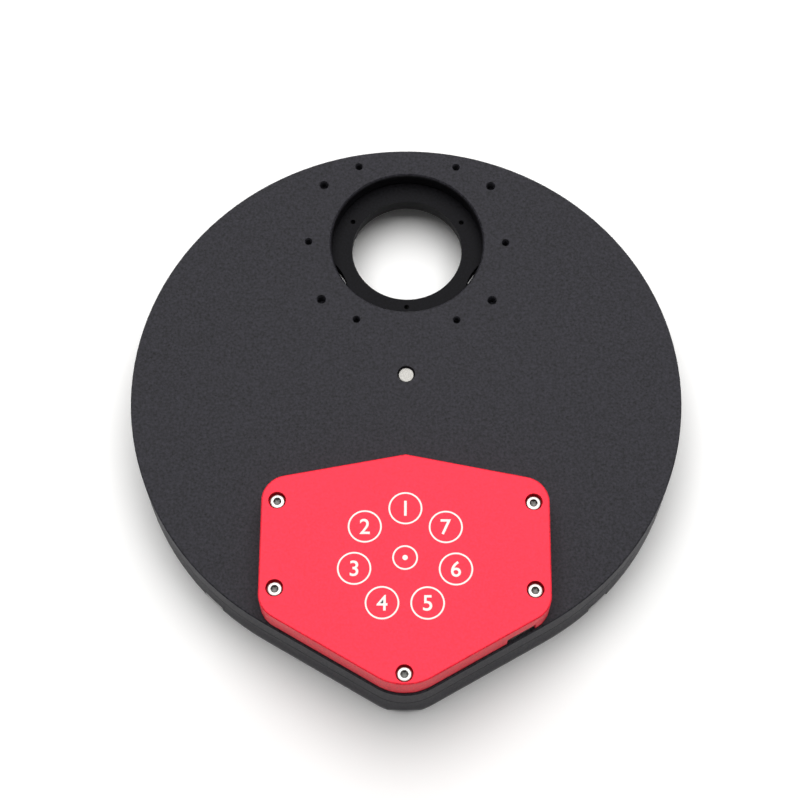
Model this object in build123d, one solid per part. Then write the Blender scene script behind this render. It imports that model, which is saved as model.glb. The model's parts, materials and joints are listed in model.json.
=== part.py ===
"""Motorised seven-slot optical filter wheel, in millimetres.

Origin: on the optical axis, in the plane of the underside (telescope side).
+Z points to the camera side, +Y from the wheel's axle towards the optical axis.
"""
import os
from math import acos, cos, pi, radians, sin, tan

from build123d import *

# ---------------------------------------------------------------- driving sizes
# Filters and carousel
filter_count = 7
pitch_radius = 45.5          # axle to the centre of each filter
clear_aperture = 35.0        # diameter of the lip the filter rests against
filter_diameter = 36.0
filter_gap = 0.1             # radial play of a filter in its seat
filter_lip = 3.0             # thickness of the lip over the seat
retainer_radius = 20.1       # filter centre to its retaining screws
retainer_hole = 1.6          # tapped M2
carousel_thickness = 6.0
carousel_gap = 0.9           # carousel to the underside of the camera plate
magnet_diameter = 4.0
magnet_length = 2.0
magnet_inset = 8.4           # home magnet from the carousel's rim

# Gear drive
gear_module = 1.0
ring_teeth = 144
pinion_teeth = 16
pressure_angle = 20.0
addendum_factor = 0.95
dedendum_factor = 1.25
backlash = 0.2               # play between flanks along the pitch circle
centre_play = 0.05           # added to the centre distance
ring_body = 2.3              # ring gear from its bore to the tooth roots
pinion_width = 5.0
pinion_hub_length = 1.6
pinion_hub_radius = 4.6
grub_diameter = 2.0
grub_length = 2.6

# Housing halves
port_wall = 3.5              # thinnest wall, between cavity and rim beside the ports
cavity_play = 2.05           # tooth tips to the cavity wall
rim_offset = 6.0             # the rim's centre lies this far from the axle, away from the ports
vee_slope = 30.0             # slope of the two straight edges that close the body to a point
tip_radius = 16.5
body_height = 21.0
upper_height = 9.0           # camera half, from the parting line up
plate_thickness = 4.8        # camera plate over the carousel
floor_thickness = 4.0
edge_chamfer = 0.35
parting_chamfer = 0.2
corner_wall = 5.0            # around the lightening pockets beside the pinion
pocket_floor = 3.0
lip_height = 1.0             # light trap at the parting line
lip_width = 1.2
lip_gap = 0.1
notch_height = 3.2           # pry notches in the bottom edge
notch_width = 8.0
notch_depth = 1.6
tip_notch_width = 10.0
notch_angles = (-133.5, -46.0)
# Screws that join the halves, on each side: beyond the cavity wall, and the angle
# at the axle from the ports' side
port_screw_out = 2.6
port_screw_angle = 58.0
side_screw_out = 4.5
side_screw_angle = 90.0
corner_screw_out = 7.0
corner_screw_angle = 128.0
tip_screw_out = 10.4
tip_screw_angle = 163.7

# Ports and their screw holes
camera_port_diameter = 48.0
telescope_port_diameter = 54.0   # M54 x 0.75, at the thread's outside
port_chamfer = 0.6
ring_hole_circle = 62.5
ring_hole_count = 6
ring_hole = 2.5              # M2.5
plate_hole_x = 53.5
plate_hole_y = 40.5
plate_hole = 3.0             # M3
tapped_depth = 4.0
telescope_tapped_depth = 3.0

# Axle and bearings (5 x 13 x 4)
axle_diameter = 5.0
axle_recess = 0.8            # axle end below the camera face
axle_window = 5.5            # hole in the camera plate that shows the axle end
axle_floor = 1.6             # left between the axle's foot and its screw's head
axle_chamfer = 0.3
axle_boss_radius = 6.5
bearing_diameter = 13.0
bearing_width = 4.0
bearing_sink = 0.2           # upper bearing below the carousel's top face
race_height = 1.1            # radial thickness of each bearing ring
ball_diameter = 2.0
ball_count = 7
ball_play = 0.04
cage_half_width = 0.35
cage_height = 1.3            # crown of the cage, from the balls' middle plane
shield_thickness = 0.25
shield_inset = 0.3
shield_play = 0.15
shield_bite = 0.1            # shields let into the outer ring
bearing_spacer = 0.5
race_margin = 0.2            # what presses on an inner ring stays inside its edge
clip_thickness = 0.6
clip_groove = 0.4            # radial depth of the clip's groove
clip_mouth = 3.5
hub_wall = 2.0
hub_flange_radius = 20.0
hub_flange = 1.3
hub_screw_circle = 30.0
hub_screw_count = 6
fit_play = 0.02              # seated rings and pins
slip_play = 0.05             # running shaft, loosely located parts

# Stepper motor
motor_diameter = 25.0
motor_length = 11.2          # flange and can
motor_flange = 1.0
motor_ear_spacing = 32.0
motor_ear_radius = 3.2
motor_play = 0.4             # can to the well around it
motor_shaft_diameter = 3.0
motor_seat = 1.3             # floor of the motor well
motor_headroom = 0.5         # can to the cover's roof
can_corner = 0.8
can_roof = 1.5
shaft_end_play = 0.5
shaft_chamfer = 0.25
bushing_radius = 3.2
bushing_height = 0.6

# Motor cover
cover_half_width = 42.55
cover_apex = 30.15           # axle to the blunt point of the cover
cover_slope = 11.0
cover_inset = 0.7            # cover's straight edges inside the body's
cover_corner = 8.0
cover_wall = 2.5
cover_roof = 1.8
cover_chamfer = 0.4
cover_foot_chamfer = 0.3     # shadow gap where the cover meets the housing
cover_boss_wall = 1.35
cover_screw_side = 4.7       # cover screws from the cover's sides
cover_screw_upper = 6.6      # below the shoulder corner
cover_screw_lower = 6.3      # above the lower corner
cover_screw_tip = 3.35       # from the rounded tip

# Socket-head and pan-head screws, M2.5
screw_diameter = 2.5
thread_gap = 0.05
clearance_hole = 2.7
head_diameter = 4.5
head_height = 2.5
counterbore = 5.3
head_sink = 1.0              # cover screw heads below the cover's top
hex_key = 2.0
hex_depth = 1.3
hex_floor = 0.4              # least left under a low head's socket
head_chamfer = 0.25
pan_height = 1.4
screw_engagement = 4.2       # cover screws in the camera plate
body_screw_engagement = 5.5
body_head_sink = 0.4

# Control board and its parts
board_thickness = 1.6
board_edge_gap = 0.6         # board to the cover's inner wall
standoff_flats = 4.5
stud_length = 2.2
upper_standoff_in = 7.85     # standoffs inwards and down from the cover screws
upper_standoff_down = 2.0
lower_standoff_in = 13.85
lower_standoff_down = 2.1
controller_side = 7.0
controller_x = -12.0         # chips sideways of the middle, and below the cover's apex
controller_drop = 16.0
driver_side = 5.0
driver_x = 12.0
driver_drop = 20.0
chip_height = 1.0
crystal_length = 3.2
crystal_width = 2.5
crystal_height = 0.8
crystal_x = -2.0
crystal_drop = 14.0
connector_length = 8.0
connector_width = 4.0
connector_height = 2.0
connector_x = 22.0
connector_drop = 32.0
sensor_width = 4.0
sensor_depth = 3.0
sensor_thickness = 1.5
sensor_air = 0.8             # sensor face above the underside of the camera plate
sensor_play = 0.5
lead_width = 0.45
lead_pitch = 1.27
usb_width = 8.94
usb_height = 3.2
usb_length = 7.35
usb_shell = 0.3
usb_back_wall = 1.0
usb_tongue_width = 6.7
usb_tongue_thickness = 0.7
usb_tongue_length = 4.5
usb_in = 3.85                # socket mouth, inwards from the cover's lower screws
usb_recess = 0.4             # mouth behind the cover's face
usb_floor = 0.7              # socket above the camera face
usb_play = 0.3

# ------------------------------------------------------------- worked-out places
axle_y = -pitch_radius
rim_y = axle_y - rim_offset
ring_pitch_radius = gear_module * ring_teeth / 2
pinion_pitch_radius = gear_module * pinion_teeth / 2
ring_tip_radius = ring_pitch_radius + addendum_factor * gear_module
ring_root_radius = ring_pitch_radius - dedendum_factor * gear_module
ring_bore_radius = ring_root_radius - ring_body
carousel_radius = ring_bore_radius - slip_play
cavity_radius = ring_tip_radius + cavity_play
body_radius = cavity_radius + port_wall + rim_offset
pinion_y = axle_y - ring_pitch_radius - pinion_pitch_radius - centre_play
pinion_tip_radius = pinion_pitch_radius + addendum_factor * gear_module
pinion_bay_radius = pinion_tip_radius + cavity_play
seat_radius = filter_diameter / 2 + filter_gap

parting_z = body_height - upper_height
plate_z = body_height - plate_thickness
carousel_top = plate_z - carousel_gap
carousel_z = carousel_top - carousel_thickness
upper_bearing_z = carousel_top - bearing_sink - bearing_width
lower_bearing_z = upper_bearing_z - bearing_spacer - bearing_width
clip_z = upper_bearing_z + bearing_width
axle_foot = body_head_sink + pan_height + axle_floor
axle_top = body_height - axle_recess
bearing_radius = bearing_diameter / 2
axle_radius = axle_diameter / 2
inner_race_radius = axle_radius + race_height
outer_race_radius = bearing_radius - race_height
ball_circle = (inner_race_radius + outer_race_radius) / 2
hub_radius = bearing_radius + hub_wall

motor_z = plate_z + motor_seat
motor_radius = motor_diameter / 2
well_radius = motor_radius + motor_play
motor_top = motor_z + motor_length
cover_top = motor_top + motor_headroom + cover_roof
roof_z = cover_top - cover_roof
pinion_z = carousel_z + (carousel_thickness - pinion_width) / 2
pinion_top = pinion_z + pinion_width + pinion_hub_length

slope = radians(vee_slope)
cover_reach = body_radius - cover_inset
shoulder_y = axle_y - cover_apex - cover_half_width * tan(radians(cover_slope))
cover_foot_y = rim_y - (cover_reach - cover_half_width * sin(slope)) / cos(slope)
cover_tip_radius = tip_radius - cover_inset
cover_tip_y = rim_y - (cover_reach - cover_tip_radius) / cos(slope) - cover_tip_radius
cover_screw_x = cover_half_width - cover_screw_side
upper_screw_y = shoulder_y - cover_screw_upper
lower_screw_y = cover_foot_y + cover_screw_lower
cover_screw_spots = [(0, cover_tip_y + cover_screw_tip)] + [
    (side * cover_screw_x, y) for side in (-1, 1) for y in (upper_screw_y, lower_screw_y)
]
cover_head_z = cover_top - head_sink - head_height
cover_boss_radius = counterbore / 2 + cover_boss_wall

body_screw_spots = [
    (side * (cavity_radius + out) * sin(radians(angle)),
     axle_y + (cavity_radius + out) * cos(radians(angle)))
    for side in (-1, 1)
    for out, angle in (
        (port_screw_out, port_screw_angle),
        (side_screw_out, side_screw_angle),
        (corner_screw_out, corner_screw_angle),
        (tip_screw_out, tip_screw_angle),
    )
]
board_z = body_height + usb_floor + usb_height
board_top = board_z + board_thickness
standoff_spots = [
    (side * x, y)
    for side in (-1, 1)
    for x, y in (
        (cover_screw_x - upper_standoff_in, upper_screw_y - upper_standoff_down),
        (cover_screw_x - lower_standoff_in, lower_screw_y - lower_standoff_down),
    )
]
usb_x = cover_screw_x - usb_in
usb_z = body_height + usb_floor + usb_height / 2
magnet_radius = carousel_radius - magnet_inset
sensor_y = axle_y - magnet_radius
sensor_z = plate_z + sensor_air


# ------------------------------------------------------------------ small helpers
def rod(radius, low, high, x=0.0, y=0.0):
    """Upright cylinder between two heights."""
    bar = Cylinder(radius, high - low, align=(Align.CENTER, Align.CENTER, Align.MIN))
    return Pos(x, y, low) * bar


def tube(outer, inner, low, high, x=0.0, y=0.0):
    return rod(outer, low, high, x, y) - rod(inner, low, high, x, y)


def block(width, depth, low, high, x=0.0, y=0.0):
    box = Box(width, depth, high - low, align=(Align.CENTER, Align.CENTER, Align.MIN))
    return Pos(x, y, low) * box


def raised(sketch, low, high):
    """Flat sketch as a plate between two heights."""
    return Pos(0, 0, low) * extrude(sketch, amount=high - low)


def joined(solids):
    """Separate pieces that share one node."""
    return Compound(children=list(solids))


def ring_spots(count, radius, first=0.0, x=0.0, y=0.0):
    """Evenly spaced points round a circle."""
    return [
        (x + radius * cos(radians(first + 360 * i / count)),
         y + radius * sin(radians(first + 360 * i / count)))
        for i in range(count)
    ]


def socket_screw(under_head, length, head=head_height, key=True, up=True):
    """Screw with a cylindrical head; its tip points down, or up when up is False."""
    screw = rod(head_diameter / 2, 0, head) + rod(screw_diameter / 2 - thread_gap, -length, 0)
    rim = screw.edges().filter_by(GeomType.CIRCLE).sort_by(Axis.Z)[-1]
    screw = chamfer(rim, head_chamfer)
    if key:
        hexagon = RegularPolygon(hex_key / 2, 6, major_radius=False)
        screw -= raised(hexagon, head - min(hex_depth, head - hex_floor), head)
    if not up:
        screw = Rot(180, 0, 0) * screw
    return Pos(0, 0, under_head) * screw


# ---------------------------------------------------------------------- outlines
def body_outline(shrink=0.0):
    """Round rim closed to a rounded point by two tangent straight edges."""
    rim, tip = body_radius - shrink, tip_radius - shrink
    tip_y = rim_y - (rim - tip) / cos(slope)
    rim_x, rim_end = rim * sin(slope), rim_y - rim * cos(slope)
    tip_x, tip_end = tip * sin(slope), tip_y - tip * cos(slope)
    edges = [
        ThreePointArc((rim_x, rim_end), (0, rim_y + rim), (-rim_x, rim_end)),
        Line((-rim_x, rim_end), (-tip_x, tip_end)),
        ThreePointArc((-tip_x, tip_end), (0, tip_y - tip), (tip_x, tip_end)),
        Line((tip_x, tip_end), (rim_x, rim_end)),
    ]
    return make_face(edges)


def cover_outline(shrink=0.0):
    """Shield shape whose lower edges run along the body's straight edges."""
    side = cover_half_width
    apex = rim_y - cover_reach / cos(slope)
    shape = Polygon(
        (0, axle_y - cover_apex), (-side, shoulder_y), (-side, cover_foot_y),
        (0, apex), (side, cover_foot_y), (side, shoulder_y), align=None,
    )
    corners = shape.vertices().sort_by(Axis.Y)
    tip, sides = corners[0], corners[1:5]
    shape = fillet(sides, cover_corner)
    shape = fillet(shape.vertices().sort_by(Axis.Y)[0], cover_tip_radius)
    return offset(shape, -shrink, kind=Kind.INTERSECTION) if shrink else shape


# ------------------------------------------------------------------------- gears
def gear_profile(teeth, centre_angle, flank_points):
    """Involute spur-gear outline with one tooth centred on centre_angle (degrees)."""
    pitch = gear_module * teeth / 2
    base = pitch * cos(radians(pressure_angle))
    root = pitch - dedendum_factor * gear_module
    tip = pitch + addendum_factor * gear_module
    involute = tan(radians(pressure_angle)) - radians(pressure_angle)
    half_tooth = pi / (2 * teeth) - backlash / (4 * pitch)

    def half_angle(radius):
        swing = acos(min(1.0, base / radius))
        return half_tooth + involute - (tan(swing) - swing)

    start = max(root, base)
    radii = [start + (tip - start) * i / (flank_points - 1) for i in range(flank_points)]
    flank = [(r, half_angle(r)) for r in radii]
    if root < start:
        flank = [(root, flank[0][1])] + flank
    points = []
    for tooth in range(teeth):
        middle = radians(centre_angle) + 2 * pi * tooth / teeth
        right = [(r, middle - a) for r, a in flank]
        left = [(r, middle + a) for r, a in reversed(flank)]
        points += [(r * cos(a), r * sin(a)) for r, a in right + left]
    return Polygon(*points, align=None)


# ----------------------------------------------------------------- housing halves
def corner_pockets():
    """Lightening pockets left and right of the pinion, clear of every screw."""
    pocket = body_outline(corner_wall)
    pocket -= Pos(0, axle_y) * Circle(cavity_radius + port_wall)
    pocket -= Pos(0, pinion_y) * Circle(pinion_bay_radius + port_wall)
    pocket -= Pos(0, pinion_y) * Rectangle(motor_ear_spacing + 4 * motor_ear_radius,
                                           6 * motor_ear_radius)
    keep_low = Pos(0, axle_y - cavity_radius / 2) * Rectangle(
        4 * body_radius, 2 * body_radius, align=(Align.CENTER, Align.MAX))
    pocket &= keep_low
    for x, y in body_screw_spots + cover_screw_spots:
        pocket -= Pos(x, y) * Circle(counterbore / 2 + cover_boss_wall)
    return pocket


def housing_blank(low, high, low_chamfer, high_chamfer):
    """Solid in the body's outline with both its outer edges broken."""
    blank = raised(body_outline(), low, high)
    blank = chamfer(blank.faces().sort_by(Axis.Z)[0].edges(), low_chamfer)
    return chamfer(blank.faces().sort_by(Axis.Z)[-1].edges(), high_chamfer)


def make_upper_housing():
    shell = housing_blank(parting_z, body_height, parting_chamfer, edge_chamfer)
    shell -= rod(cavity_radius, parting_z, plate_z, 0, axle_y)
    shell -= rod(pinion_bay_radius, parting_z, plate_z, 0, pinion_y)
    shell -= raised(corner_pockets(), parting_z, body_height - pocket_floor)

    port = camera_port_diameter / 2
    shell -= rod(port, plate_z, body_height)
    shell -= Pos(0, 0, body_height) * Cone(
        port, port + port_chamfer, port_chamfer, align=(Align.CENTER, Align.CENTER, Align.MAX))
    blind = body_height - tapped_depth
    for x, y in ring_spots(ring_hole_count, ring_hole_circle / 2):
        shell -= rod(ring_hole / 2, blind, body_height, x, y)
    for x in (-plate_hole_x / 2, plate_hole_x / 2):
        for y in (-plate_hole_y / 2, plate_hole_y / 2):
            shell -= rod(plate_hole / 2, blind, body_height, x, y)
    shell -= rod(axle_window / 2, plate_z, body_height, 0, axle_y)

    # motor well with its ear slots, and the pinion's way through its floor
    well = Pos(0, pinion_y) * (
        Circle(well_radius)
        + SlotCenterToCenter(motor_ear_spacing, 2 * (motor_ear_radius + motor_play)))
    shell -= raised(well, motor_z, body_height)
    shell -= rod(pinion_tip_radius + slip_play + motor_play, plate_z, motor_z, 0, pinion_y)
    for x in (-motor_ear_spacing / 2, motor_ear_spacing / 2):
        shell -= rod(screw_diameter / 2, motor_z - screw_engagement, motor_z, x, pinion_y)

    shell -= block(sensor_width + 2 * sensor_play, sensor_depth + 2 * sensor_play,
                   plate_z, body_height, 0, sensor_y)
    for x, y in cover_screw_spots:
        shell -= rod(screw_diameter / 2, body_height - screw_engagement, body_height, x, y)
    for x, y in standoff_spots:
        shell -= rod(screw_diameter / 2, body_height - stud_length - thread_gap, body_height, x, y)
    for x, y in body_screw_spots:
        shell -= rod(screw_diameter / 2, parting_z, parting_z + body_screw_engagement, x, y)

    # rebate over the light lip
    shell -= rod(cavity_radius + lip_width + lip_gap,
                 parting_z, parting_z + lip_height + lip_gap, 0, axle_y)
    return shell


def make_lower_housing():
    shell = housing_blank(0, parting_z, edge_chamfer, parting_chamfer)
    shell -= rod(cavity_radius, floor_thickness, parting_z, 0, axle_y)
    shell -= rod(pinion_bay_radius, floor_thickness, parting_z, 0, pinion_y)
    shell -= raised(corner_pockets(), pocket_floor, parting_z)

    # light lip round the cavity, open where the pinion reaches the ring gear
    lip = tube(cavity_radius + lip_width, cavity_radius, parting_z, parting_z + lip_height,
               0, axle_y)
    lip -= rod(pinion_bay_radius + lip_gap, parting_z, parting_z + lip_height, 0, pinion_y)
    shell += lip

    shell -= rod(telescope_port_diameter / 2, 0, floor_thickness)
    for x, y in ring_spots(ring_hole_count, ring_hole_circle / 2):
        shell -= rod(ring_hole / 2, 0, telescope_tapped_depth, x, y)

    # boss that holds the axle; its narrow neck meets the bearing's inner ring only
    neck = inner_race_radius - race_margin
    step = (lower_bearing_z + floor_thickness) / 2
    shell += rod(axle_boss_radius, floor_thickness, step, 0, axle_y)
    shell += rod(neck, step, lower_bearing_z, 0, axle_y)
    shell -= rod(axle_radius + fit_play, axle_foot, lower_bearing_z, 0, axle_y)
    shell -= rod(clearance_hole / 2, 0, axle_foot, 0, axle_y)
    shell -= rod(counterbore / 2, 0, pan_height + body_head_sink, 0, axle_y)

    for x, y in body_screw_spots:
        shell -= rod(clearance_hole / 2, 0, parting_z, x, y)
        shell -= rod(counterbore / 2, 0, head_height + body_head_sink, x, y)

    # pry notches
    for angle in notch_angles:
        cut = block(2 * notch_depth, notch_width, 0, notch_height, body_radius)
        shell -= Pos(0, rim_y) * (Rot(0, 0, angle) * cut)
    body_tip_y = rim_y - (body_radius - tip_radius) / cos(slope) - tip_radius
    sagitta = tip_radius - (tip_radius ** 2 - tip_notch_width ** 2 / 4) ** 0.5
    shell -= block(2 * tip_notch_width, 2 * sagitta, 0, notch_height, 0, body_tip_y)
    return shell


def make_housing_screws():
    length = parting_z - head_height - body_head_sink + body_screw_engagement - thread_gap
    screw = socket_screw(body_head_sink + head_height, length, up=False)
    return joined(Pos(x, y) * screw for x, y in body_screw_spots)


# ------------------------------------------------------------ axle and its bearings
def make_wheel_axle():
    axle = rod(axle_radius, axle_foot, axle_top, 0, axle_y)
    axle = chamfer(axle.edges().filter_by(GeomType.CIRCLE), axle_chamfer)
    axle -= tube(axle_diameter, axle_radius - clip_groove, clip_z, clip_z + clip_thickness,
                 0, axle_y)
    axle -= rod(screw_diameter / 2, axle_foot, axle_foot + screw_engagement, 0, axle_y)
    return axle


def make_axle_screw():
    under_head = pan_height + body_head_sink
    length = axle_foot - under_head + screw_engagement - thread_gap
    return Pos(0, axle_y) * socket_screw(under_head, length, head=pan_height, up=False)


def bearing_sections(bottom):
    """Half sections of inner ring, and outer ring with its two shields, in the XZ plane."""
    middle, top = bottom + bearing_width / 2, bottom + bearing_width
    groove = Pos(ball_circle, middle) * Circle(ball_diameter / 2 + ball_play)
    inner = Pos((axle_radius + fit_play + inner_race_radius) / 2, middle) * Rectangle(
        inner_race_radius - axle_radius - fit_play, bearing_width)
    outer_edge = bearing_radius - fit_play
    outer = Pos((outer_race_radius + outer_edge) / 2, middle) * Rectangle(
        outer_edge - outer_race_radius, bearing_width)
    shield_in = inner_race_radius + shield_play
    shield_width = outer_race_radius + shield_bite - shield_in
    outer -= groove
    inner -= groove
    for level in (bottom + shield_inset, top - shield_inset - shield_thickness):
        outer += Pos(shield_in + shield_width / 2, level + shield_thickness / 2) * Rectangle(
            shield_width, shield_thickness)
    return inner, outer


def spun(section):
    """Section in the XY plane, turned upright and revolved round the axle."""
    return Pos(0, axle_y) * revolve(Plane.XZ * section, Axis.Z)


def make_bearing_rings():
    rings = [bearing_sections(z) for z in (lower_bearing_z, upper_bearing_z)]
    return joined(spun(r[0]) for r in rings), joined(spun(r[1]) for r in rings)


def make_balls_and_cages():
    balls, cages = [], []
    for z in (lower_bearing_z, upper_bearing_z):
        middle = z + bearing_width / 2
        spots = ring_spots(ball_count, ball_circle, 90, 0, axle_y)
        balls += [Pos(x, y, middle) * Sphere(ball_diameter / 2) for x, y in spots]
        cage = tube(ball_circle + cage_half_width, ball_circle - cage_half_width,
                    middle, middle + cage_height, 0, axle_y)
        for x, y in spots:
            cage -= Pos(x, y, middle) * Sphere(ball_diameter / 2 + ball_play)
        cages.append(cage)
    return joined(balls), cages


def make_bearing_spacer():
    return tube(inner_race_radius - race_margin, axle_radius + fit_play,
                lower_bearing_z + bearing_width, upper_bearing_z, 0, axle_y)


def make_retaining_clip():
    clip = tube(inner_race_radius - race_margin, axle_radius - clip_groove + fit_play,
                clip_z, clip_z + clip_thickness, 0, axle_y)
    return clip - block(clip_mouth, axle_diameter, clip_z, clip_z + clip_thickness,
                        0, axle_y + axle_diameter / 2)


# ------------------------------------------------------------------------ carousel
def filter_spots():
    return ring_spots(filter_count, pitch_radius, 90, 0, axle_y)


def make_filter_carousel():
    disc = rod(carousel_radius, carousel_z, carousel_top, 0, axle_y)
    disc -= rod(hub_radius + fit_play, carousel_z, carousel_top, 0, axle_y)
    for index, (x, y) in enumerate(filter_spots()):
        disc -= rod(clear_aperture / 2, carousel_z, carousel_top, x, y)
        disc -= rod(seat_radius, carousel_z, carousel_top - filter_lip, x, y)
        turn = 360 * index / filter_count
        for hole_x, hole_y in ring_spots(3, retainer_radius, 30 + turn, x, y):
            disc -= rod(retainer_hole / 2, carousel_z, carousel_top, hole_x, hole_y)
    for x, y in ring_spots(hub_screw_count, hub_screw_circle / 2, 0, 0, axle_y):
        disc -= rod(screw_diameter / 2, carousel_z, carousel_z + screw_engagement, x, y)
    disc -= rod(magnet_diameter / 2 + fit_play, carousel_top - magnet_length, carousel_top,
                0, axle_y - magnet_radius)
    return disc


def make_ring_gear():
    profile = gear_profile(ring_teeth, 270, 3) - Circle(ring_bore_radius)
    return Pos(0, axle_y) * raised(profile, carousel_z, carousel_top)


def make_carousel_hub():
    hub_z = lower_bearing_z
    hub = rod(hub_radius, hub_z, clip_z, 0, axle_y)
    hub += rod(hub_flange_radius, carousel_z - hub_flange, carousel_z, 0, axle_y)
    hub -= rod(bearing_radius, hub_z, lower_bearing_z + bearing_width, 0, axle_y)
    hub -= rod(bearing_radius, upper_bearing_z, clip_z, 0, axle_y)
    hub -= rod(outer_race_radius, hub_z, clip_z, 0, axle_y)
    for x, y in ring_spots(hub_screw_count, hub_screw_circle / 2, 0, 0, axle_y):
        hub -= rod(clearance_hole / 2, carousel_z - hub_flange, carousel_z, x, y)
    return hub


def make_hub_screws():
    screw = socket_screw(carousel_z - hub_flange, hub_flange + screw_engagement - thread_gap,
                         head=pan_height, up=False)
    spots = ring_spots(hub_screw_count, hub_screw_circle / 2, 0, 0, axle_y)
    return joined(Pos(x, y) * screw for x, y in spots)


def make_home_magnet():
    return rod(magnet_diameter / 2, carousel_top - magnet_length, carousel_top,
               0, axle_y - magnet_radius)


# -------------------------------------------------------------------- gear drive
def make_drive_pinion():
    gap_up = 90 + 180 / pinion_teeth
    pinion = raised(gear_profile(pinion_teeth, gap_up, 5), pinion_z, pinion_z + pinion_width)
    pinion += rod(pinion_hub_radius, pinion_z + pinion_width, pinion_top)
    pinion -= rod(motor_shaft_diameter / 2 + fit_play, pinion_z, pinion_top)
    grub_z = pinion_top - pinion_hub_length / 2
    hole = Pos(0, -motor_shaft_diameter / 2, grub_z) * (
        Rot(90, 0, 0) * Cylinder(grub_diameter / 4, pinion_hub_radius,
                                 align=(Align.CENTER, Align.CENTER, Align.MIN)))
    return Pos(0, pinion_y) * (pinion - hole)


def make_motor_shaft():
    end = motor_top - can_roof - shaft_end_play
    shaft = rod(motor_shaft_diameter / 2, pinion_z, end, 0, pinion_y)
    return chamfer(shaft.edges().filter_by(GeomType.CIRCLE).sort_by(Axis.Z)[0], shaft_chamfer)


def make_grub_screw():
    grub_z = pinion_top - pinion_hub_length / 2
    grub = Rot(90, 0, 0) * Cylinder(grub_diameter / 4 - thread_gap, grub_length,
                                    align=(Align.CENTER, Align.CENTER, Align.MIN))
    return Pos(0, pinion_y - motor_shaft_diameter / 2 - fit_play, grub_z) * grub


def make_motor_can():
    can = rod(motor_radius, motor_z + motor_flange, motor_top, 0, pinion_y)
    can = fillet(can.edges().filter_by(GeomType.CIRCLE).sort_by(Axis.Z)[-1], can_corner)
    bore = motor_shaft_diameter / 2 + slip_play
    return can - rod(bore, motor_z + motor_flange, motor_top - can_roof, 0, pinion_y)


def make_motor_flange():
    plate = Circle(motor_radius) + SlotCenterToCenter(motor_ear_spacing, 2 * motor_ear_radius)
    plate -= Circle(bushing_radius + fit_play)
    for x in (-motor_ear_spacing / 2, motor_ear_spacing / 2):
        plate -= Pos(x, 0) * Circle(clearance_hole / 2)
    return Pos(0, pinion_y) * raised(plate, motor_z, motor_z + motor_flange)


def make_motor_bushing():
    return tube(bushing_radius, motor_shaft_diameter / 2 + slip_play,
                motor_z - bushing_height, motor_z + motor_flange, 0, pinion_y)


def make_motor_screws():
    under_head = motor_z + motor_flange
    screw = socket_screw(under_head, motor_flange + screw_engagement - thread_gap,
                         head=pan_height)
    half = motor_ear_spacing / 2
    return joined(Pos(x, pinion_y) * screw for x in (-half, half))


# ------------------------------------------------------------------- motor cover
def usb_frame(z=0.0):
    """Place at the socket's mouth; local +Y runs into the cover, local X along its edge."""
    face_y = rim_y - (cover_reach - usb_x * sin(slope)) / cos(slope)
    return Pos(usb_x, face_y, z) * Rot(0, 0, vee_slope)


def make_motor_cover():
    cover = raised(cover_outline(), body_height, cover_top)
    top_edges = cover.faces().sort_by(Axis.Z)[-1].edges()
    cover = chamfer(top_edges, cover_chamfer)
    cover = chamfer(cover.faces().sort_by(Axis.Z)[0].edges(), cover_foot_chamfer)
    cover -= raised(cover_outline(cover_wall), body_height, roof_z)
    inside = raised(cover_outline(cover_chamfer), body_height, roof_z)
    for x, y in cover_screw_spots:
        cover += rod(cover_boss_radius, body_height, roof_z, x, y) & inside
    for x, y in cover_screw_spots:
        cover -= rod(clearance_hole / 2, body_height, cover_top, x, y)
        cover -= rod(counterbore / 2, cover_head_z, cover_top, x, y)
    slot_top = board_z + usb_play
    slot = block(usb_width + 2 * usb_play, 4 * cover_wall, body_height, slot_top)
    return cover - usb_frame() * slot


def make_cover_screws():
    length = cover_head_z - body_height + screw_engagement - thread_gap
    screw = socket_screw(cover_head_z, length)
    return joined(Pos(x, y) * screw for x, y in cover_screw_spots)


# ------------------------------------------------------------------ control board
def make_control_board():
    board = cover_outline(cover_wall + board_edge_gap)
    board -= Pos(0, pinion_y) * Circle(motor_radius + 2 * board_edge_gap)
    board -= Pos(0, pinion_y) * Rectangle(
        motor_diameter + 4 * board_edge_gap, 2 * motor_diameter, align=(Align.CENTER, Align.MAX))
    for x, y in cover_screw_spots:
        board -= Pos(x, y) * Circle(cover_boss_radius + board_edge_gap)
    for x, y in standoff_spots:
        board -= Pos(x, y) * Circle(clearance_hole / 2)
    return raised(board, board_z, board_top)


def make_board_standoffs():
    post = raised(RegularPolygon(standoff_flats / 2, 6, major_radius=False), body_height, board_z)
    post += rod(screw_diameter / 2 - thread_gap, body_height - stud_length, body_height)
    post -= rod(screw_diameter / 2, body_height + usb_floor, board_z)
    return joined(Pos(x, y) * post for x, y in standoff_spots)


def make_board_screws():
    depth = board_z - body_height - usb_floor - thread_gap
    screw = socket_screw(board_top, board_thickness + depth, head=pan_height)
    return joined(Pos(x, y) * screw for x, y in standoff_spots)


def make_usb_socket():
    """Open-ended metal shell with a rounded mouth."""
    outer = SlotOverall(usb_width, usb_height)
    inner = SlotOverall(usb_width - 2 * usb_shell, usb_height - 2 * usb_shell)
    shell = extrude(outer, amount=usb_length)
    shell -= extrude(inner, amount=usb_length - usb_back_wall)
    return usb_frame(usb_z) * Pos(0, usb_recess, 0) * Rot(-90, 0, 0) * shell


def make_usb_tongue():
    back = usb_recess + usb_length - usb_back_wall
    tongue = Box(usb_tongue_width, usb_tongue_length, usb_tongue_thickness,
                 align=(Align.CENTER, Align.MAX, Align.CENTER))
    return usb_frame(usb_z) * Pos(0, back, 0) * tongue


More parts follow.
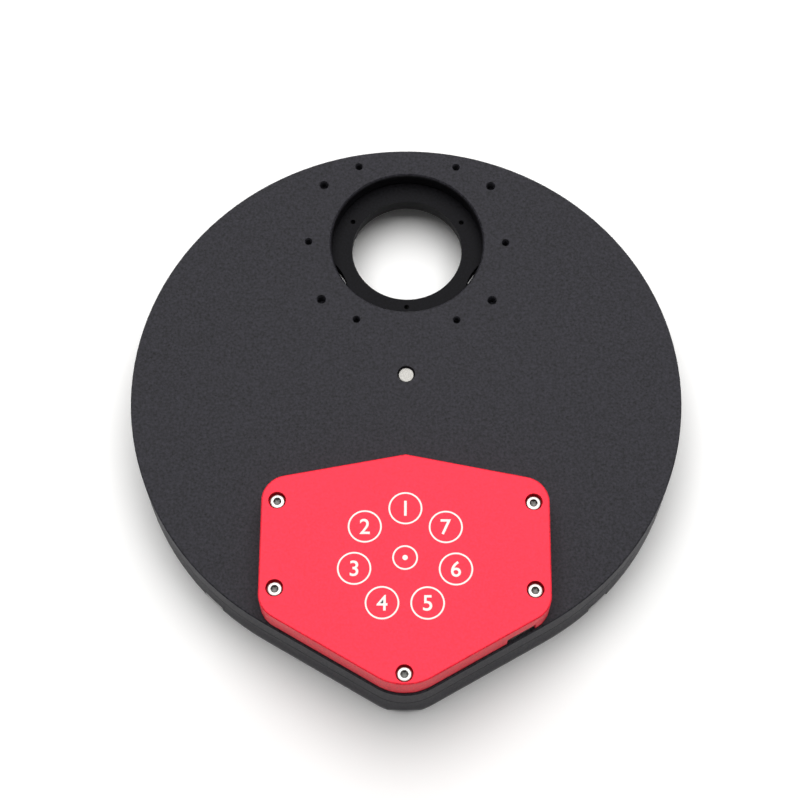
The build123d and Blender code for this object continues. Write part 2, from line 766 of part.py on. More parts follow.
def make_hall_sensor():
    sensor = block(sensor_width, sensor_depth, sensor_z, sensor_z + sensor_thickness, 0, sensor_y)
    for step in (-1, 0, 1):
        sensor += block(lead_width, lead_width, sensor_z + sensor_thickness, board_z,
                        step * lead_pitch, sensor_y)
    return sensor


def chip(width, depth, height, x, drop):
    """Component that stands on the board, below the cover's apex."""
    y = axle_y - cover_apex - drop
    return block(width, depth, board_top, board_top + height, x, y)


# ------------------------------------------------------------------------- export
inner_rings, outer_rings = make_bearing_rings()
balls, cages = make_balls_and_cages()
nodes = {
    "upper_housing": make_upper_housing(),
    "lower_housing": make_lower_housing(),
    "housing_screws": make_housing_screws(),
    "wheel_axle": make_wheel_axle(),
    "axle_screw": make_axle_screw(),
    "bearing_inner_rings": inner_rings,
    "bearing_spacer": make_bearing_spacer(),
    "retaining_clip": make_retaining_clip(),
    "bearing_outer_rings": outer_rings,
    "bearing_balls": balls,
    "bearing_cages": joined(cages),
    "filter_carousel": make_filter_carousel(),
    "ring_gear": make_ring_gear(),
    "carousel_hub": make_carousel_hub(),
    "hub_screws": make_hub_screws(),
    "home_magnet": make_home_magnet(),
    "drive_pinion": make_drive_pinion(),
    "motor_shaft": make_motor_shaft(),
    "grub_screw": make_grub_screw(),
    "motor_can": make_motor_can(),
    "motor_flange": make_motor_flange(),
    "motor_bushing": make_motor_bushing(),
    "motor_screws": make_motor_screws(),
    "motor_cover": make_motor_cover(),
    "cover_screws": make_cover_screws(),
    "control_board": make_control_board(),
    "board_standoffs": make_board_standoffs(),
    "board_screws": make_board_screws(),
    "usb_socket": make_usb_socket(),
    "usb_tongue": make_usb_tongue(),
    "hall_sensor": make_hall_sensor(),
    "controller_chip": chip(
        controller_side, controller_side, chip_height, controller_x, controller_drop),
    "driver_chip": chip(driver_side, driver_side, chip_height, driver_x, driver_drop),
    "clock_crystal": chip(
        crystal_length, crystal_width, crystal_height, crystal_x, crystal_drop),
    "motor_connector": chip(
        connector_length, connector_width, connector_height, connector_x, connector_drop),
}

os.makedirs("parts", exist_ok=True)
for name, solid in nodes.items():
    export_step(solid, f"parts/{name}.step")
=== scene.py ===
"""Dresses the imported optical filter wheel: finishes, screws, threads, print and studio."""

import json
import math

import bmesh
import bpy
from bpy.props import FloatProperty, FloatVectorProperty, IntProperty, PointerProperty
from mathutils import Matrix, Vector


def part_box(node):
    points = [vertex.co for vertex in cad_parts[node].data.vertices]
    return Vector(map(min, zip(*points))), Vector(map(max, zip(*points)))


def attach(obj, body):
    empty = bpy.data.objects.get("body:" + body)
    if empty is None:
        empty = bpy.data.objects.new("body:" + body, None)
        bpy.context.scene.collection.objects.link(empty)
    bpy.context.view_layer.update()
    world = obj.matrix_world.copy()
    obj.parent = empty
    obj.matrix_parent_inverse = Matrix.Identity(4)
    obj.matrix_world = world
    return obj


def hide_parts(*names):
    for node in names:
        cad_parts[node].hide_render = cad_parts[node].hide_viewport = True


bl_info = {
    "name": "Filter wheel dressing",
    "version": (1, 0, 0),
    "blender": (4, 5, 0),
    "location": "View3D > Sidebar > Filter wheel",
    "description": "Finishes, small pieces and studio for a motorised filter wheel",
    "category": "Object",
}

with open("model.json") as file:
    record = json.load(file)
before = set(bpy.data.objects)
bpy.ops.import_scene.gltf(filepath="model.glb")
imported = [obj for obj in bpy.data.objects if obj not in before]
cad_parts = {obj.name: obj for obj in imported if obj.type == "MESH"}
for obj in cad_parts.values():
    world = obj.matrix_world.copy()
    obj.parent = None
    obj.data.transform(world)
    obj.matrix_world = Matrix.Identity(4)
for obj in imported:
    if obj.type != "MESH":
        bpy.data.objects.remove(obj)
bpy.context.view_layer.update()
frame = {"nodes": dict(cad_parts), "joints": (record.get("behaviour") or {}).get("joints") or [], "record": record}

MM = 0.001
MOUNTS = {mount["name"]: mount for mount in frame["record"]["mounts"]}
JOINTS = {joint["name"]: joint for joint in frame["joints"]}
AXLE = Vector(JOINTS["carousel_spin"]["pos_m"])
PINION = Vector(JOINTS["pinion_spin"]["pos_m"])
CAMERA_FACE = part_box("upper_housing")[1].z
COVER_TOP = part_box("motor_cover")[1].z

ROUND = 72                          # steps round a turned piece, a multiple of six for hexagons
FINE_ROUND = 48                     # steps round small or hidden turned pieces
PIECE_WELD = 1e-7                   # points of an added piece that are merged
NODE_WELD = 1e-6                    # points of a CAD node that are merged
PIECE_SHARP = math.radians(30)      # edges of an added piece that stay sharp turn by more
NODE_SHARP = math.radians(25)       # edges of a CAD node that stay sharp turn by more

# Finishes
DARKEST_GRAIN = 0.15        # darkest mottle, as a share of the colour
GRAIN_SHEEN = 0.15          # how far the mottles change the roughness
BEAD_SCALE = 3.0            # beads across one mottle
MARK_SHEEN = 0.12           # how far tool marks change the roughness
SOCKET_SHADE = 0.33         # painted shade: steel in a hex socket, as a share of the bright steel
AXLE_SHADE = 0.78           # steel of the axle's end, likewise: painted shade that tones down the lamp's reflection in it
BORE_MARGIN = 0.0002        # painted shade inside the port reaches this far past the port's wall

# Screws: shares of their own sizes, and the smallest lengths
THREAD_HEIGHT = 0.61        # crest to root, of the pitch
FIRST_CREST = 0.75          # first crest above the tip, of the pitch
TIP = 0.8                   # flat tip, of the root's radius
NECK = 0.00005              # plain shank under the head
KNURL_DEPTH = 0.02          # of the head's radius
HEAD_FOOT = 0.08            # rounding at the foot of the head, of its height
HEAD_BEVEL = 0.16           # bevel on top, of a socket head's height
BEVEL_BREAK = (0.4, 0.3)    # inset and drop of the line that breaks the bevel, of the bevel
SOCKET_MOUTH = 1.24         # round mouth of the hex socket, of half its width
MOUTH_LIP = 0.985           # inner edge of that mouth, of the mouth
MOUTH_DROP = 0.00012        # mouth down to the hexagon
SOCKET_DEPTH = 0.55         # of the head's height
SOCKET_FLOOR = ((0.96, 0.00004), (0.2, 0.0003))     # radius of half its width, and drop
# These two find the faces inside the hex socket, which get the darker steel that is painted shade.
SOCKET_REACH = 0.58         # faces this near the middle are the socket's, of its width
SOCKET_SKIN = 0.00001       # and lie this far under the top

# Threads in holes
CREST = (0.44, 0.56)        # start and end of a crest, of the pitch
VALLEY = 0.1                # height left between two crests, of a crest's
LINER_GAP = 0.00001         # threads start this far inside the wall
PORT_LEAD = 0.0002          # plain wall at both ends of the port's thread
HOLE_LEAD = 0.0003          # plain wall at the mouth of a tapped hole
CAMERA_THREAD = 0.0036      # depth of the threads in the camera face
TELESCOPE_THREAD = 0.0028   # depth of those in the telescope face

# Contacts of the USB socket
CONTACTS = 12               # on each side of the tongue
CONTACT_LENGTH = 0.0032
CONTACT_WIDTH = 0.00026
CONTACT_THICKNESS = 0.00003
CONTACT_STEP = 0.0005       # middle of one contact to the middle of the next
CONTACT_SETBACK = 0.0007    # behind the tip of the tongue
CONTACT_ROUNDING = 0.3      # rounding of the corners, of the width

# Printed dial
SLOTS = 7
MIDDLE_RING = 0.75          # ring round the middle dot, of a slot mark
MIDDLE_DOT = 1.6            # radius of the middle dot, in line widths
FONT_SIZE = 1.25            # size of the font, of the height of its numerals
INK_SPREAD = 0.12           # how far the numerals swell, of a line width

# Studio
SENSOR_WIDTH = 36.0                     # millimetres
FLOOR_GREY = (0.72, 0.72, 0.72, 1)      # floor as it lights the wheel
PAPER_TINT = (1.0, 0.995, 0.985)        # paper seen directly, channel by channel
PAPER_FADE = (0.35, 0.9)                # metres over which the paper turns plain white
UNDER_HORIZON = -0.05                   # slope at which the light from below is at full strength


# ------------------------------------------------------------------ settings
class WheelFinishSettings(bpy.types.PropertyGroup):
    """Colours and grain of the metal finishes"""

    black: FloatVectorProperty(
        name="Black anodising", description="Colour of the housing and the carousel",
        subtype="COLOR", size=3, min=0, max=1, default=(0.0226, 0.0218, 0.0268))
    red: FloatVectorProperty(
        name="Red anodising", description="Colour of the motor cover",
        subtype="COLOR", size=3, min=0, max=1, default=(0.88, 0.021, 0.045))
    steel: FloatVectorProperty(
        name="Stainless steel", description="Colour of screws and the axle",
        subtype="COLOR", size=3, min=0, max=1, default=(0.40, 0.39, 0.368))
    ink: FloatVectorProperty(
        name="Printed ink", description="Colour of the dial printed on the cover",
        subtype="COLOR", size=3, min=0, max=1, default=(0.90, 0.87, 0.82))
    grain: FloatProperty(
        name="Blast grain", description="Size of the largest mottles of the blasted grain",
        default=0.0008, min=0.0001, unit="LENGTH")
    # Painted shade: the black inside the camera port, and that of the carousel and the ring gear, is darkened to
    # this share of the outer black.
    port_painted_shade: FloatProperty(
        name="Inner black", description="Black inside the port, as a share of the outer black",
        default=0.25, min=0, max=1)


class WheelScrewSettings(bpy.types.PropertyGroup):
    """Sizes of the M2.5 screws"""

    head: FloatProperty(
        name="Head diameter", description="Across the cylindrical head",
        default=0.0045, min=0.001, unit="LENGTH")
    head_height: FloatProperty(
        name="Head height", description="Height of a socket head",
        default=0.0025, min=0.0005, unit="LENGTH")
    low_head_height: FloatProperty(
        name="Low head height", description="Height of a low head",
        default=0.0014, min=0.0005, unit="LENGTH")
    shank: FloatProperty(
        name="Thread diameter", description="Outside diameter of the thread",
        default=0.00244, min=0.0005, unit="LENGTH")
    pitch: FloatProperty(
        name="Thread pitch", description="Crest to crest along the thread",
        default=0.00045, min=0.0001, unit="LENGTH")
    key: FloatProperty(
        name="Hex key", description="Across the flats of the socket",
        default=0.002, min=0.0005, unit="LENGTH")
    knurls: IntProperty(
        name="Knurls", description="Ridges round a socket head", default=36, min=12)


class WheelThreadSettings(bpy.types.PropertyGroup):
    """Threads in the ports and the tapped holes"""

    port_pitch: FloatProperty(
        name="Port pitch", description="Pitch of the telescope port's thread",
        default=0.00075, min=0.0002, unit="LENGTH")
    port_depth: FloatProperty(
        name="Port thread height", description="Crest height of the port's thread",
        default=0.0004, min=0.0001, unit="LENGTH")
    small_depth: FloatProperty(
        name="Small thread height", description="Crest height in the tapped holes",
        default=0.0002, min=0.00005, unit="LENGTH")


class WheelDialSettings(bpy.types.PropertyGroup):
    """Numbered dial printed on the motor cover"""

    drop: FloatProperty(
        name="Drop", description="Dial's centre below the axle, along the cover",
        default=0.0625, min=0, unit="LENGTH")
    ring: FloatProperty(
        name="Ring radius", description="Dial's centre to the middle of each slot mark",
        default=0.0152, min=0.002, unit="LENGTH")
    slot: FloatProperty(
        name="Slot mark radius", description="Outside radius of one slot mark",
        default=0.0050, min=0.001, unit="LENGTH")
    line: FloatProperty(
        name="Line width", description="Width of the printed lines",
        default=0.0005, min=0.0001, unit="LENGTH")
    numeral: FloatProperty(
        name="Numeral height", description="Height of the printed numbers",
        default=0.0053, min=0.001, unit="LENGTH")
    ink: FloatProperty(
        name="Ink thickness", description="How far the ink stands up",
        default=0.00003, min=0.00001, unit="LENGTH")


class WheelStageSettings(bpy.types.PropertyGroup):
    """Camera, lamp, sky and floor"""

    lens: FloatProperty(
        name="Lens", description="Focal length in millimetres on a 36 mm sensor",
        default=88.34, min=10)
    distance: FloatProperty(
        name="Distance", description="Camera to its aim point",
        default=0.6019, min=0.1, unit="LENGTH")
    elevation: FloatProperty(
        name="Elevation", description="Camera above the horizon",
        default=math.radians(67.576), subtype="ANGLE")
    azimuth: FloatProperty(
        name="Azimuth", description="Camera's swing to the right of straight on",
        default=math.radians(0.456), subtype="ANGLE")
    roll: FloatProperty(
        name="Roll", description="Camera's turn about its own axis",
        default=math.radians(-0.068), subtype="ANGLE")
    aim: FloatVectorProperty(
        name="Aim", description="Point that the camera looks at",
        subtype="TRANSLATION", size=3, default=(-0.001861, -0.054215, 0.021))
    floor: FloatProperty(
        name="Floor size", description="Side of the square floor",
        default=6.0, min=1, unit="LENGTH")
    floor_drop: FloatProperty(
        name="Floor drop", description="Floor below the underside, so that they don't coincide",
        default=0.00005, min=0, unit="LENGTH")
    underside_reach: FloatProperty(
        name="Underside reach", description="Rays shorter than this pass through the floor",
        default=0.0025, min=0, unit="LENGTH")
    key_power: FloatProperty(
        name="Lamp power", description="Power of the large soft lamp",
        default=26.5, min=0, unit="POWER")
    key_tilt: FloatProperty(
        name="Lamp elevation", description="Lamp above the horizon, behind the wheel",
        default=math.radians(72), subtype="ANGLE")
    key_side: FloatProperty(
        name="Lamp offset", description="Lamp to the right, as a share of its distance",
        default=0.0)
    key_distance: FloatProperty(
        name="Lamp distance", description="Lamp to the middle of the wheel",
        default=1.4, min=0.3, unit="LENGTH")
    key_width: FloatProperty(
        name="Lamp width", description="Side to side", default=1.5, min=0.01, unit="LENGTH")
    key_depth: FloatProperty(
        name="Lamp depth", description="Front to back", default=1.7, min=0.01, unit="LENGTH")
    sky: FloatProperty(
        name="Sky", description="Strength of the even light from above the horizon",
        default=0.20, min=0)
    mirror_sky: FloatProperty(
        name="Mirrored sky", description="How bright bare metal sees its surroundings",
        default=0.8, min=0)
    paper: FloatProperty(
        name="Paper white", description="Brightness of the floor where it is seen directly",
        default=1.06, min=0, max=2)


SETTINGS = {
    "wheel_finish": WheelFinishSettings,
    "wheel_screws": WheelScrewSettings,
    "wheel_threads": WheelThreadSettings,
    "wheel_dial": WheelDialSettings,
    "wheel_stage": WheelStageSettings,
}


# ------------------------------------------------------------- node helpers
def add_node(tree, kind, values=None, **attributes):
    """A shader node with its attributes and its constant inputs set."""
    node = tree.nodes.new(kind)
    for name, value in attributes.items():
        setattr(node, name, value)
    for socket, value in (values or {}).items():
        node.inputs[socket].default_value = value
    return node


def rgba(colour):
    """Colour of three channels as one of four."""
    return (*colour, 1.0)


def shaded(colour, share):
    """Colour darkened to a share of itself."""
    return tuple(share * value for value in colour)


def effect_group(name, inputs, outputs):
    """Empty node group with named sockets, and its two end nodes."""
    group = bpy.data.node_groups.new(name, "ShaderNodeTree")
    for label, kind, default in inputs:
        socket = group.interface.new_socket(label, in_out="INPUT", socket_type=kind)
        if default is not None:
            socket.default_value = default
    for label, kind in outputs:
        group.interface.new_socket(label, in_out="OUTPUT", socket_type=kind)
    return group, group.nodes.new("NodeGroupInput"), group.nodes.new("NodeGroupOutput")


def blast_group():
    """Bead-blasted grain: mottled colour, sheen and a fine bump."""
    group, given, result = effect_group(
        "Blast grain",
        [("Colour", "NodeSocketColor", (0.5, 0.5, 0.5, 1)),
         ("Grain Scale", "NodeSocketFloat", 600.0),
         ("Grain Contrast", "NodeSocketFloat", 0.1),
         ("Broad Contrast", "NodeSocketFloat", 0.05),
         ("Roughness", "NodeSocketFloat", 0.5),
         ("Depth", "NodeSocketFloat", 0.00002)],
        [("Colour", "NodeSocketColor"), ("Roughness", "NodeSocketFloat"),
         ("Normal", "NodeSocketVector")])
    link = group.links.new
    place = add_node(group, "ShaderNodeTexCoord")
    mottle = add_node(group, "ShaderNodeTexNoise", {"Detail": 3.0, "Roughness": 0.75})
    broad = add_node(group, "ShaderNodeTexNoise", {"Scale": 14.0, "Detail": 2.0})
    beads = add_node(group, "ShaderNodeTexNoise", {"Detail": 1.0, "Roughness": 0.5})
    bead_scale = add_node(group, "ShaderNodeMath", {1: BEAD_SCALE}, operation="MULTIPLY")
    link(given.outputs["Grain Scale"], mottle.inputs["Scale"])
    link(given.outputs["Grain Scale"], bead_scale.inputs[0])
    link(bead_scale.outputs[0], beads.inputs["Scale"])
    for noise in (mottle, broad, beads):
        link(place.outputs["Object"], noise.inputs["Vector"])
    parts = []
    for noise, contrast in ((mottle, "Grain Contrast"), (broad, "Broad Contrast")):
        middle = add_node(group, "ShaderNodeMath", {1: 0.5}, operation="SUBTRACT")
        part = add_node(group, "ShaderNodeMath", operation="MULTIPLY")
        link(noise.outputs["Fac"], middle.inputs[0])
        link(middle.outputs[0], part.inputs[0])
        link(given.outputs[contrast], part.inputs[1])
        parts.append(part)
    both = add_node(group, "ShaderNodeMath", operation="ADD")
    link(parts[0].outputs[0], both.inputs[0])
    link(parts[1].outputs[0], both.inputs[1])
    gain = add_node(group, "ShaderNodeMath", {1: 1.0}, operation="ADD")
    darkest = add_node(group, "ShaderNodeMath", {1: DARKEST_GRAIN}, operation="MAXIMUM")
    link(both.outputs[0], gain.inputs[0])
    link(gain.outputs[0], darkest.inputs[0])
    shade = add_node(group, "ShaderNodeVectorMath", operation="SCALE")
    link(given.outputs["Colour"], shade.inputs[0])
    link(darkest.outputs[0], shade.inputs["Scale"])
    link(shade.outputs[0], result.inputs["Colour"])
    share = add_node(group, "ShaderNodeMath", {1: GRAIN_SHEEN}, operation="MULTIPLY")
    rough = add_node(group, "ShaderNodeMath", operation="ADD", use_clamp=True)
    link(both.outputs[0], share.inputs[0])
    link(given.outputs["Roughness"], rough.inputs[0])
    link(share.outputs[0], rough.inputs[1])
    link(rough.outputs[0], result.inputs["Roughness"])
    bump = add_node(group, "ShaderNodeBump", {"Strength": 1.0})
    link(beads.outputs["Fac"], bump.inputs["Height"])
    link(given.outputs["Depth"], bump.inputs["Distance"])
    link(bump.outputs["Normal"], result.inputs["Normal"])
    return group


def turned_group():
    """Concentric tool marks round the Z axis of the vector it is given."""
    group, given, result = effect_group(
        "Turned marks",
        [("Vector", "NodeSocketVector", None),
         ("Mark Scale", "NodeSocketFloat", 1500.0),
         ("Roughness", "NodeSocketFloat", 0.25),
         ("Depth", "NodeSocketFloat", 0.00001)],
        [("Roughness", "NodeSocketFloat"), ("Normal", "NodeSocketVector")])
    link = group.links.new
    rings = add_node(group, "ShaderNodeTexWave",
                     {"Distortion": 1.5, "Detail": 2.0, "Detail Scale": 2.0},
                     wave_type="RINGS", rings_direction="Z")
    link(given.outputs["Vector"], rings.inputs["Vector"])
    link(given.outputs["Mark Scale"], rings.inputs["Scale"])
    vary = add_node(group, "ShaderNodeMath", {1: MARK_SHEEN}, operation="MULTIPLY")
    link(rings.outputs["Fac"], vary.inputs[0])
    rough = add_node(group, "ShaderNodeMath", operation="ADD", use_clamp=True)
    link(given.outputs["Roughness"], rough.inputs[0])
    link(vary.outputs[0], rough.inputs[1])
    link(rough.outputs[0], result.inputs["Roughness"])
    bump = add_node(group, "ShaderNodeBump", {"Strength": 1.0})
    link(rings.outputs["Fac"], bump.inputs["Height"])
    link(given.outputs["Depth"], bump.inputs["Distance"])
    link(bump.outputs["Normal"], result.inputs["Normal"])
    return group


def bore_shade_group():
    """Colour, darkened inside a round bore on the Z axis: painted shade of the hollow."""
    group, given, result = effect_group(
        "Painted bore shade",
        [("Colour", "NodeSocketColor", (0.5, 0.5, 0.5, 1)),
         ("Radius", "NodeSocketFloat", 0.01),
         ("Shade", "NodeSocketFloat", 0.5)],
        [("Colour", "NodeSocketColor")])
    link = group.links.new
    place = add_node(group, "ShaderNodeTexCoord")
    flat = add_node(group, "ShaderNodeVectorMath", {1: (1, 1, 0)}, operation="MULTIPLY")
    reach = add_node(group, "ShaderNodeVectorMath", operation="LENGTH")
    inside = add_node(group, "ShaderNodeMath", operation="LESS_THAN")
    link(place.outputs["Object"], flat.inputs[0])
    link(flat.outputs[0], reach.inputs[0])
    link(reach.outputs["Value"], inside.inputs[0])
    link(given.outputs["Radius"], inside.inputs[1])
    keep = add_node(group, "ShaderNodeMapRange", {"To Min": 1.0})
    link(inside.outputs[0], keep.inputs["Value"])
    link(given.outputs["Shade"], keep.inputs["To Max"])
    shade = add_node(group, "ShaderNodeVectorMath", operation="SCALE")
    link(given.outputs["Colour"], shade.inputs[0])
    link(keep.outputs["Result"], shade.inputs["Scale"])
    link(shade.outputs[0], result.inputs["Colour"])
    return group


def shared_group(name, maker):
    """Node group of this name, made on its first use."""
    return bpy.data.node_groups.get(name) or maker()


def new_material(name, **principled):
    """Material with one Principled BSDF whose constants are set on its own sockets."""
    material = bpy.data.materials.new(name)
    material.use_nodes = True
    shader = material.node_tree.nodes["Principled BSDF"]
    for socket, value in principled.items():
        shader.inputs[socket.replace("_", " ")].default_value = value
    return material, material.node_tree, shader


def blasted_material(name, colour, scale, contrast, roughness, depth, broad, **principled):
    """Bead-blasted and anodised metal, or moulded plastic with the same sort of grain."""
    material, tree, shader = new_material(name, **principled)
    grain = add_node(tree, "ShaderNodeGroup", node_tree=shared_group("Blast grain", blast_group))
    for socket, value in (("Colour", rgba(colour)), ("Grain Scale", scale),
                          ("Grain Contrast", contrast), ("Broad Contrast", broad),
                          ("Roughness", roughness), ("Depth", depth)):
        grain.inputs[socket].default_value = value
    tree.links.new(grain.outputs["Colour"], shader.inputs["Base Color"])
    tree.links.new(grain.outputs["Roughness"], shader.inputs["Roughness"])
    tree.links.new(grain.outputs["Normal"], shader.inputs["Normal"])
    return material


def paint_bore_shade(material, radius, shade):
    """Darkens a material inside a bore on the optical axis, as painted shade of the hollow."""
    tree = material.node_tree
    shader = tree.nodes["Principled BSDF"]
    colour = shader.inputs["Base Color"].links[0].from_socket
    mask = add_node(tree, "ShaderNodeGroup", {"Radius": radius, "Shade": shade},
                    node_tree=shared_group("Painted bore shade", bore_shade_group))
    tree.links.new(colour, mask.inputs["Colour"])
    tree.links.new(mask.outputs["Colour"], shader.inputs["Base Color"])


def turned_material(name, colour, centre, scale, roughness, depth):
    """Turned or faced metal whose tool marks run round a centre."""
    material, tree, shader = new_material(name, Base_Color=rgba(colour), Metallic=1.0)
    place = add_node(tree, "ShaderNodeTexCoord")
    shift = add_node(tree, "ShaderNodeMapping", {"Location": -centre})
    marks = add_node(tree, "ShaderNodeGroup", node_tree=shared_group("Turned marks", turned_group))
    for socket, value in (("Mark Scale", scale), ("Roughness", roughness), ("Depth", depth)):
        marks.inputs[socket].default_value = value
    tree.links.new(place.outputs["Object"], shift.inputs["Vector"])
    tree.links.new(shift.outputs["Vector"], marks.inputs["Vector"])
    tree.links.new(marks.outputs["Roughness"], shader.inputs["Roughness"])
    tree.links.new(marks.outputs["Normal"], shader.inputs["Normal"])
    return material


def board_material(name):
    """Green solder mask over faint copper tracks."""
    material, tree, shader = new_material(
        name, Roughness=0.35, Coat_Weight=0.4, Coat_Roughness=0.15)
    place = add_node(tree, "ShaderNodeTexCoord")
    cells = add_node(tree, "ShaderNodeTexVoronoi", {"Scale": 420.0},
                     feature="DISTANCE_TO_EDGE", distance="MANHATTAN")
    ramp = add_node(tree, "ShaderNodeValToRGB")
    track, mask = ramp.color_ramp.elements
    track.position, track.color = 0.05, (0.03, 0.20, 0.075, 1)
    mask.position, mask.color = 0.09, (0.006, 0.075, 0.028, 1)
    tree.links.new(place.outputs["Object"], cells.inputs["Vector"])
    tree.links.new(cells.outputs["Distance"], ramp.inputs["Fac"])
    tree.links.new(ramp.outputs["Color"], shader.inputs["Base Color"])
    return material


FINISHES = {}
# CAD pieces whose finish isn't the one that their slot is named for: darker copies, which are painted shade
OWN_FINISH = {"wheel_axle": "axle_shaded_steel", "filter_carousel": "painted_shade_black",
              "ring_gear": "painted_shade_black"}


def build_finishes(finish):
    """Materials for the slots of the record and for the added pieces."""
    grain = 1.0 / finish.grain
    blasted = {
        "black_anodised": dict(
            colour=finish.black, scale=grain, contrast=4.2, roughness=0.47, depth=0.000012,
            broad=0.2, Specular_IOR_Level=0.1),
        # Painted shade: a darker copy of the black for the carousel and the ring gear, which lie in the shade of
        # the port.
        "painted_shade_black": dict(
            colour=shaded(finish.black, finish.port_painted_shade), scale=grain, contrast=4.0,
            roughness=0.50, depth=0.000010, broad=0.12, Specular_IOR_Level=0.05),
        "red_anodised": dict(
            colour=finish.red, scale=grain, contrast=1.3, roughness=0.42, depth=0.000008,
            broad=0.06, Metallic=0.3, Specular_IOR_Level=0.2),
        "stainless": dict(
            colour=finish.steel, scale=1500.0, contrast=0.45, roughness=0.32, depth=0.000003,
            broad=0.04, Metallic=1.0),
        # Painted shade: a darker copy of the steel for the faces inside the hex sockets.
        "socket_painted_shade": dict(
            colour=shaded(finish.steel, SOCKET_SHADE), scale=1500.0, contrast=0.20,
            roughness=0.45, depth=0.000004, broad=0.04, Metallic=1.0),
        "nickel_plate": dict(
            colour=(0.60, 0.58, 0.54), scale=900.0, contrast=0.06, roughness=0.26,
            depth=0.000002, broad=0.03, Metallic=1.0),
        "gold_plate": dict(
            colour=(0.83, 0.57, 0.20), scale=1200.0, contrast=0.05, roughness=0.24,
            depth=0.000002, broad=0.02, Metallic=1.0),
        "black_plastic": dict(
            colour=(0.018, 0.018, 0.02), scale=1500.0, contrast=0.6, roughness=0.5,
            depth=0.000008, broad=0.05),
        "white_plastic": dict(
            colour=(0.76, 0.74, 0.66), scale=1500.0, contrast=0.05, roughness=0.45,
            depth=0.000006, broad=0.05),
        "printed_ink": dict(
            colour=finish.ink, scale=1200.0, contrast=0.10, roughness=0.55, depth=0.000004,
            broad=0.02),
    }
    turned = {
        "clear_aluminium": dict(
            colour=(0.62, 0.62, 0.64), centre=AXLE, scale=900.0, roughness=0.3,
            depth=0.000006),
        # Painted shade: a darker copy of the screws' steel for the axle's end, which tones down the lamp's
        # reflection in it.
        "axle_shaded_steel": dict(
            colour=shaded(finish.steel, AXLE_SHADE), centre=AXLE, scale=1600.0,
            roughness=0.45, depth=0.00002),
        "bearing_steel": dict(
            colour=(0.60, 0.60, 0.62), centre=AXLE, scale=1200.0, roughness=0.18,
            depth=0.000003),
        "motor_steel": dict(
            colour=(0.48, 0.48, 0.50), centre=PINION, scale=500.0, roughness=0.35,
            depth=0.000006),
        "brass": dict(
            colour=(0.72, 0.50, 0.20), centre=PINION, scale=900.0, roughness=0.28,
            depth=0.000006),
    }
    for name, values in blasted.items():
        FINISHES[name] = blasted_material(name, **values)
    for name, values in turned.items():
        FINISHES[name] = turned_material(name, **values)
    FINISHES["board_laminate"] = board_material("board_laminate")
    # The housing's black turns darker inside the camera port: painted shade of its hollow.
    port = MOUNTS["camera_port"]["dims"]["r_mm"] * MM
    paint_bore_shade(FINISHES["black_anodised"], port + BORE_MARGIN, finish.port_painted_shade)


# ------------------------------------------------------------ modelling helpers
def add_piece(bm, name, materials, body, replaced=()):
    """Finished bmesh as a piece that rides a body, with smooth faces and sharp edges."""
    bmesh.ops.remove_doubles(bm, verts=bm.verts, dist=PIECE_WELD)
    bmesh.ops.recalc_face_normals(bm, faces=bm.faces)
    for face in bm.faces:
        face.smooth = True
    for edge in bm.edges:
        if len(edge.link_faces) == 2:
            edge.smooth = edge.calc_face_angle(0.0) < PIECE_SHARP
    mesh = bpy.data.meshes.new(name)
    bm.to_mesh(mesh)
    bm.free()
    for material in materials:
        mesh.materials.append(FINISHES[material])
    piece = bpy.data.objects.new(name, mesh)
    bpy.context.scene.collection.objects.link(piece)
    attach(piece, body)
    if replaced:
        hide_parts(*replaced)
    return piece


def absorb(bm, single):
    """Moves everything in one bmesh into another."""
    mesh = bpy.data.meshes.new("single")
    single.to_mesh(mesh)
    single.free()
    bm.from_mesh(mesh)
    bpy.data.meshes.remove(mesh)


def turn(bm, profile, centre=(0, 0), steps=ROUND, closed=False):
    """Spins a profile of (radius, height) points round an upright axis."""
    verts = [bm.verts.new((centre[0] + r, centre[1], z)) for r, z in profile]
    edges = [bm.edges.new(pair) for pair in zip(verts, verts[1:])]
    if closed:
        edges.append(bm.edges.new((verts[-1], verts[0])))
    return bmesh.ops.spin(bm, geom=verts + edges, cent=(*centre, 0), axis=(0, 0, 1),
                          angle=math.tau, steps=steps, use_merge=True)


def lay_ring(verts, radius, z):
    """Lays vertices on a ring round the Z axis; the radius may be a function of the angle."""
    for vert in verts:
        angle = math.atan2(vert.co.y, vert.co.x)
        reach = radius(angle) if callable(radius) else radius
        vert.co = (reach * math.cos(angle), reach * math.sin(angle), z)


def stack_rings(bm, rings):
    """Closed solid through a list of (radius, height) rings, capped at both ends."""
    start = bmesh.ops.create_circle(bm, cap_ends=True, segments=ROUND, radius=1.0)["verts"]
    lay_ring(start, *rings[0])
    edges = list({edge for vert in start for edge in vert.link_edges})
    for radius, z in rings[1:]:
        made = bmesh.ops.extrude_edge_only(bm, edges=edges)["geom"]
        lay_ring([item for item in made if isinstance(item, bmesh.types.BMVert)], radius, z)
        edges = [item for item in made if isinstance(item, bmesh.types.BMEdge)]
    bmesh.ops.edgeloop_fill(bm, edges=edges)


def hexagon(across_flats):
    """Radius of a hexagon as a function of the angle."""
    def radius(angle):
        offset = (angle % (math.pi / 3)) - math.pi / 6
        return across_flats / 2 / math.cos(offset)
    return radius


def knurled(outside, depth, ridges):
    """Radius of a knurled rim as a function of the angle."""
    def radius(angle):
        return outside - depth * (0.5 - 0.5 * math.cos(ridges * angle))
    return radius


